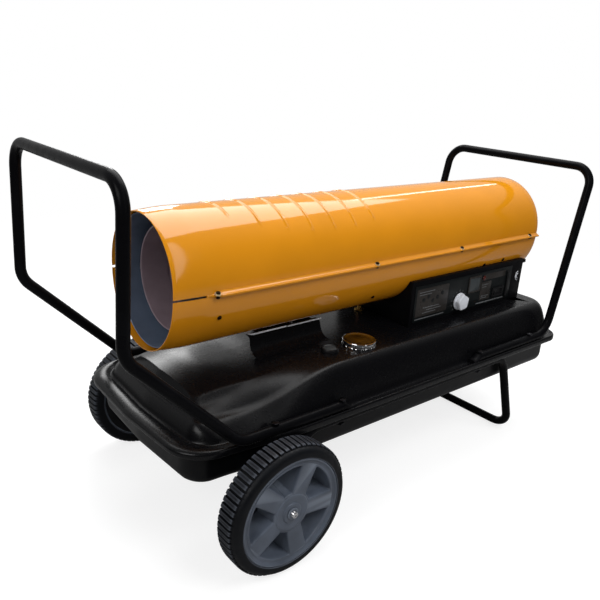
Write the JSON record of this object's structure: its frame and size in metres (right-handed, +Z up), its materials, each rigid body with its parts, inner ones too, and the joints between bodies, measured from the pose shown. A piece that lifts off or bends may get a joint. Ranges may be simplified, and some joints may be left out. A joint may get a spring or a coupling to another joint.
{
  "type": "poultry heater",
  "caption": "Wheeled forced-air heater: a long round burner housing on a fuel tank, with bent-tube handles, a standing leg, a control panel and a round warm-air outlet.",
  "frame": {"origin": "on the floor, under the middle of the overall length and width", "axes": "+Z up, +X from the warm-air outlet to the fan end, -Y towards the control panel's side"},
  "size_m": [1.242, 0.5946, 0.705],
  "materials": {
    "yellow_paint": "gloss",
    "black_paint": "gloss",
    "galvanised": "satin",
    "heat_steel": "satin",
    "bright_steel": "satin",
    "fan_aluminium": "satin",
    "cast_aluminium": "matte",
    "chrome": "polished",
    "brass": "satin",
    "copper_line": "satin",
    "ceramic": "matte",
    "black_plastic": "matte",
    "panel_plastic": "satin",
    "knob_plastic": "satin",
    "window_plastic": "gloss",
    "red_lens": "gloss",
    "board_green": "satin",
    "tyre_rubber": "matte",
    "rim_plastic": "satin",
    "seal_rubber": "matte"
  },
  "bodies": {
    "chassis": {"upper_shell": "yellow_paint", "lower_shell": "yellow_paint", "motor": "black_paint", "rear_guard": "black_paint", "tank_upper": "black_paint", "tank_lower": "black_paint", "front_support": "black_paint", "control_box": "black_paint", "front_handle": "black_paint", "rear_handle": "black_paint", "wheel_frame": "black_paint", "heat_liner": "galvanised", "burner_head": "galvanised", "motor_bracket": "galvanised", "combustion_chamber": "heat_steel", "outlet_baffle": "heat_steel", "filler_neck": "bright_steel", "axle": "bright_steel", "handle_bolt_1": "bright_steel", "handle_bolt_2": "bright_steel", "handle_bolt_3": "bright_steel", "handle_bolt_4": "bright_steel", "handle_bolt_5": "bright_steel", "handle_bolt_6": "bright_steel", "handle_bolt_7": "bright_steel", "handle_bolt_8": "bright_steel", "air_pump": "cast_aluminium", "hub_cap_left": "chrome", "hub_cap_right": "chrome", "drain_plug": "brass", "fuel_nozzle": "brass", "fuel_pickup": "brass", "fuel_line": "copper_line", "air_line": "copper_line", "igniter": "ceramic", "flame_eye": "black_plastic", "filter_cover": "black_plastic", "cord_gland": "black_plastic", "switch_bezel": "black_plastic", "thermostat": "black_plastic", "ignition_transformer": "black_plastic", "control_panel": "panel_plastic", "display_window": "window_plastic", "fuel_gauge": "window_plastic", "indicator_lamp": "red_lens", "control_board": "board_green"},
    "wheel_left": {"tyre_left": "tyre_rubber", "rim_left": "rim_plastic"},
    "wheel_right": {"tyre_right": "tyre_rubber", "rim_right": "rim_plastic"},
    "fan_rotor": {"fan": "fan_aluminium", "motor_shaft": "bright_steel"},
    "thermostat_dial": {"thermostat_knob": "knob_plastic", "thermostat_spindle": "bright_steel"},
    "switch_rocker": {"power_switch": "black_plastic"},
    "seal": {"cap_seal": "seal_rubber"},
    "cap": {"fuel_cap": "chrome"}
  },
  "joints": [
    {"name": "wheel_left_spin", "type": "hinge", "parent": "chassis", "child": "wheel_left", "pos_m": [-0.346, -0.265, 0.125], "axis": [0, 1, 0], "continuous": true},
    {"name": "wheel_right_spin", "type": "hinge", "parent": "chassis", "child": "wheel_right", "pos_m": [-0.346, 0.265, 0.125], "axis": [0, 1, 0], "continuous": true},
    {"name": "fan_spin", "type": "hinge", "parent": "chassis", "child": "fan_rotor", "pos_m": [0.303, 0, 0.4785], "axis": [1, 0, 0], "continuous": true},
    {"name": "knob_turn", "type": "hinge", "parent": "chassis", "child": "thermostat_dial", "pos_m": [0.28, -0.12, 0.3473], "axis": [0, -1, 0], "range_deg": [-135, 135]},
    {"name": "switch_rock", "type": "hinge", "parent": "chassis", "child": "switch_rocker", "pos_m": [0.434, -0.1138, 0.3463], "axis": [0, 0, 1], "range_deg": [-12, 0]},
    {"name": "cap_lift", "type": "slide", "parent": "chassis", "child": "seal", "axis": [0, 0, 1], "range_m": [0, 0.04]},
    {"name": "cap_turn", "type": "hinge", "parent": "seal", "child": "cap", "pos_m": [-0.053, -0.125, 0.32], "axis": [0, 0, 1], "range_deg": [0, 90]}
  ]
}
